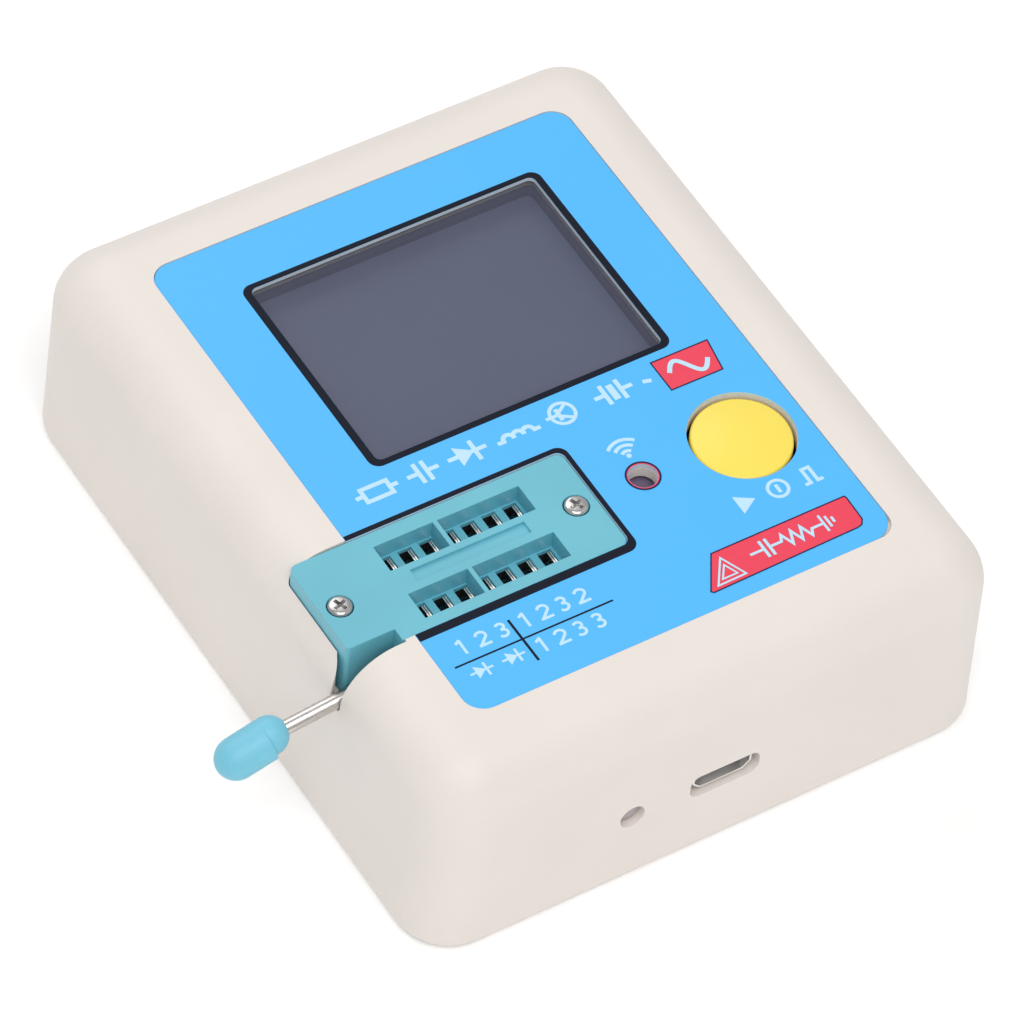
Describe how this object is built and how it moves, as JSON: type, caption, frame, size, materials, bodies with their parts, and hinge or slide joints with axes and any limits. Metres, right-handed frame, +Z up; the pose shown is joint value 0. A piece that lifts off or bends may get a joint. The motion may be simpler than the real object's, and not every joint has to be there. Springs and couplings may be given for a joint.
{
  "type": "component tester",
  "caption": "Hand-sized component tester: rounded case, display window, lever test socket, round start button, charging port.",
  "frame": {"origin": "centre of the case's flat bottom face", "axes": "+Z up out of the front panel, +X along the reading direction (away from the lever), +Y towards the display's end"},
  "size_m": [0.0861, 0.0882, 0.0275],
  "materials": {
    "case_plastic": "cream ABS, fine matte moulding texture",
    "panel_film": "satin printed film, sky blue",
    "window_clear": "clear, lightly smoked window sheet",
    "socket_plastic": "teal glass-filled nylon, satin",
    "knob_vinyl": "soft teal vinyl, satin",
    "button_plastic": "yellow ABS, satin",
    "black_plastic": "black moulding compound",
    "white_plastic": "white nylon",
    "tinned_metal": "tinned steel, soft shine",
    "screw_steel": "nickel-plated steel",
    "contact_metal": "plated spring contact",
    "board_laminate": "green glass-epoxy board",
    "lcd_glass": "dark grey display, off",
    "ribbon_film": "amber flat lead",
    "lamp_resin": "clear lamp resin",
    "cell_foil": "silver pouch foil",
    "lead_red": "red insulation",
    "lead_black": "black insulation"
  },
  "bodies": {
    "case": {"top_shell": "case_plastic", "bottom_cover": "case_plastic", "front_label": "panel_film", "display_window": "window_clear", "lcd_glass": "lcd_glass", "lcd_backlight": "white_plastic", "lcd_board": "board_laminate", "lcd_header": "black_plastic", "lcd_spacer_1": "white_plastic", "lcd_spacer_2": "white_plastic", "lcd_ribbon": "ribbon_film", "start_switch_body": "black_plastic", "start_switch_plate": "tinned_metal", "socket_cover": "socket_plastic", "socket_base": "socket_plastic", "socket_screw_left": "screw_steel", "socket_screw_right": "screw_steel", "main_board": "board_laminate", "ir_receiver": "black_plastic", "microcontroller": "black_plastic", "voltage_reference": "black_plastic", "charger_chip": "black_plastic", "crystal": "tinned_metal", "boost_inductor": "black_plastic", "usb_connector": "tinned_metal", "charge_lamp": "lamp_resin", "battery_cell": "cell_foil", "battery_board": "board_laminate", "battery_socket": "white_plastic", "battery_plug": "white_plastic", "battery_lead_red": "lead_red", "battery_lead_black": "lead_black", "case_screw_1": "screw_steel", "board_screw_1": "screw_steel", "case_screw_2": "screw_steel", "board_screw_2": "screw_steel", "case_screw_3": "screw_steel", "board_screw_3": "screw_steel", "case_screw_4": "screw_steel", "board_screw_4": "screw_steel", "socket_contact_01": "contact_metal", "socket_contact_02": "contact_metal", "socket_contact_03": "contact_metal", "socket_contact_04": "contact_metal", "socket_contact_05": "contact_metal", "socket_contact_06": "contact_metal", "socket_contact_07": "contact_metal", "socket_contact_08": "contact_metal", "socket_contact_09": "contact_metal", "socket_contact_10": "contact_metal", "socket_contact_11": "contact_metal", "socket_contact_12": "contact_metal", "socket_contact_13": "contact_metal", "socket_contact_14": "contact_metal"},
    "lever": {"lever_rod": "tinned_metal", "lever_knob": "knob_vinyl"},
    "slider": {"socket_slider": "black_plastic"},
    "button": {"start_button": "button_plastic", "start_switch_stem": "black_plastic"}
  },
  "joints": [
    {"name": "lever_hinge", "type": "hinge", "parent": "case", "child": "lever", "pos_m": [-0.0296, -0.02195, 0.0214], "axis": [0, 1, 0], "range_deg": [0, 97]},
    {"name": "slider_slide", "type": "slide", "parent": "case", "child": "slider", "axis": [1, 0, 0], "range_m": [0, 0.00085]},
    {"name": "start_press", "type": "slide", "parent": "case", "child": "button", "axis": [0, 0, -1], "range_m": [0, 0.0004], "stiffness_N_per_m": 3000, "springref_m": -0.0001}
  ],
  "couplings": [
    {"joint": "lever_hinge", "follows": "slider_slide", "rad_per_m": 1991}
  ]
}
